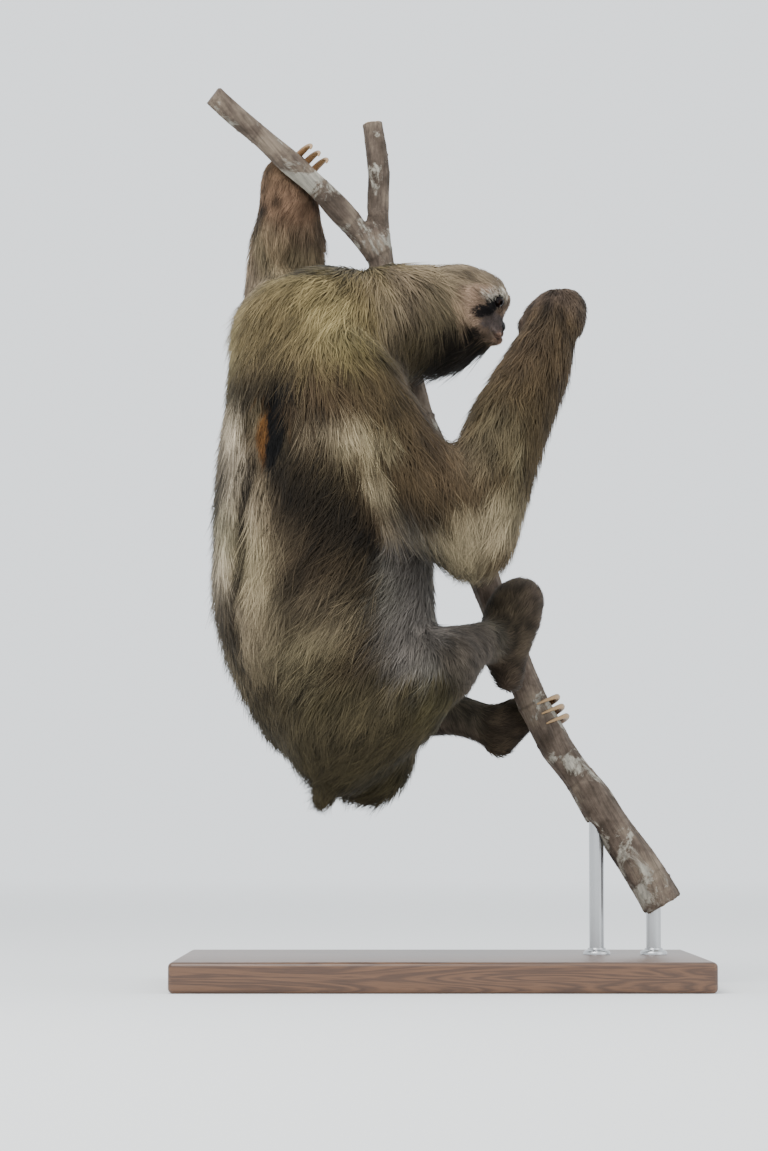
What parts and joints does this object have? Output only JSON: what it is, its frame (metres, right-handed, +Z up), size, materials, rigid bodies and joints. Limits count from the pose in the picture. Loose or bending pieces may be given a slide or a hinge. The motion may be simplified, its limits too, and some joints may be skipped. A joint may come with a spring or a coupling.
{
  "type": "brown-throated three-toed sloth",
  "caption": "Life-size three-toed sloth gripping a cut, forked stem, on a plain display stand with a wooden base and steel rods.",
  "frame": {"origin": "middle of the underside of the stand's base", "axes": "+Z up; the animal's back faces -X and -Y, its head points towards +X and +Y, and the stem leans down towards +X"},
  "size_m": [0.42, 0.33, 0.7321],
  "materials": {
    "coat": "coarse matt hair in greyish brown, tinged green, with cream patches",
    "claw_horn": "satin horn, darker at the root",
    "nose_hide": "damp black hide",
    "eyeball": "wet, dark brown",
    "bark": "smooth grey-brown bark with lichen, pale wood where it's sawn",
    "rod_steel": "brushed",
    "base_walnut": "satin oiled walnut"
  },
  "bodies": {
    "root": {"trunk": "coat", "neck": "coat", "head": "coat", "tail": "coat", "upper_arm_r": "coat", "forearm_r": "coat", "hand_r": "coat", "upper_arm_l": "coat", "forearm_l": "coat", "hand_l": "coat", "thigh_r": "coat", "shin_r": "coat", "foot_r": "coat", "thigh_l": "coat", "shin_l": "coat", "foot_l": "coat", "claw_hand_l_1": "claw_horn", "claw_hand_l_2": "claw_horn", "claw_hand_l_3": "claw_horn", "claw_foot_r_1": "claw_horn", "claw_foot_r_2": "claw_horn", "claw_foot_r_3": "claw_horn", "claw_foot_l_1": "claw_horn", "claw_foot_l_2": "claw_horn", "claw_foot_l_3": "claw_horn", "claw_hand_r_1": "claw_horn", "claw_hand_r_2": "claw_horn", "claw_hand_r_3": "claw_horn", "eye_r": "eyeball", "eye_l": "eyeball", "nose": "nose_hide", "perch_stem": "bark", "stand_base": "base_walnut", "stand_rod_1": "rod_steel", "stand_rod_2": "rod_steel"}
  },
  "joints": []
}
